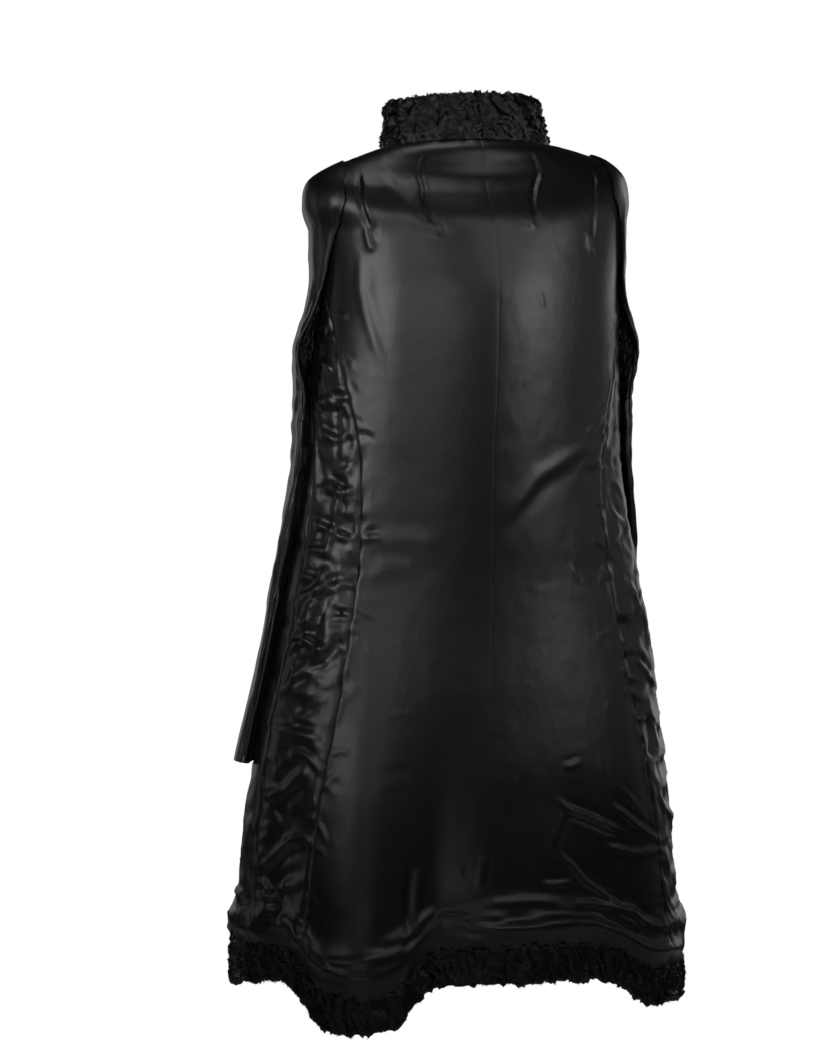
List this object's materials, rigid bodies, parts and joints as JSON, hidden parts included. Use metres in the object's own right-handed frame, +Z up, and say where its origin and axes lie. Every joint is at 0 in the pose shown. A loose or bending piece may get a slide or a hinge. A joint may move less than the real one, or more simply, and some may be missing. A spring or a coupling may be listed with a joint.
{
  "type": "fur coat",
  "caption": "Knee-length flared coat worn inside out: panelled satin lining outside, curly fur at the stand collar, front edges, armholes and hem, with empty hanging sleeves.",
  "frame": {"origin": "middle of the neck at the height where the shoulders begin, where the wearer's shoulders carry the coat", "axes": "+Z up, the front faces -Y, the wearer's left is +X"},
  "size_m": [0.5411, 0.3461, 1.0593],
  "materials": {
    "satin_lining": "black satin with a soft broad sheen",
    "fur": "black flat-curled fur in short glossy waves"
  },
  "bodies": {
    "root": {"back_left": "satin_lining", "side_left": "satin_lining", "side_front_left": "satin_lining", "front_left": "satin_lining", "facing_left": "fur", "hem_back_left": "fur", "hem_front_left": "fur", "collar_left": "fur", "sleeve_upper_left": "satin_lining", "sleeve_under_left": "satin_lining", "gusset_left": "fur", "back_right": "satin_lining", "side_right": "satin_lining", "side_front_right": "satin_lining", "front_right": "satin_lining", "facing_right": "fur", "hem_back_right": "fur", "hem_front_right": "fur", "collar_right": "fur", "sleeve_upper_right": "satin_lining", "sleeve_under_right": "satin_lining", "gusset_right": "fur"}
  },
  "joints": []
}
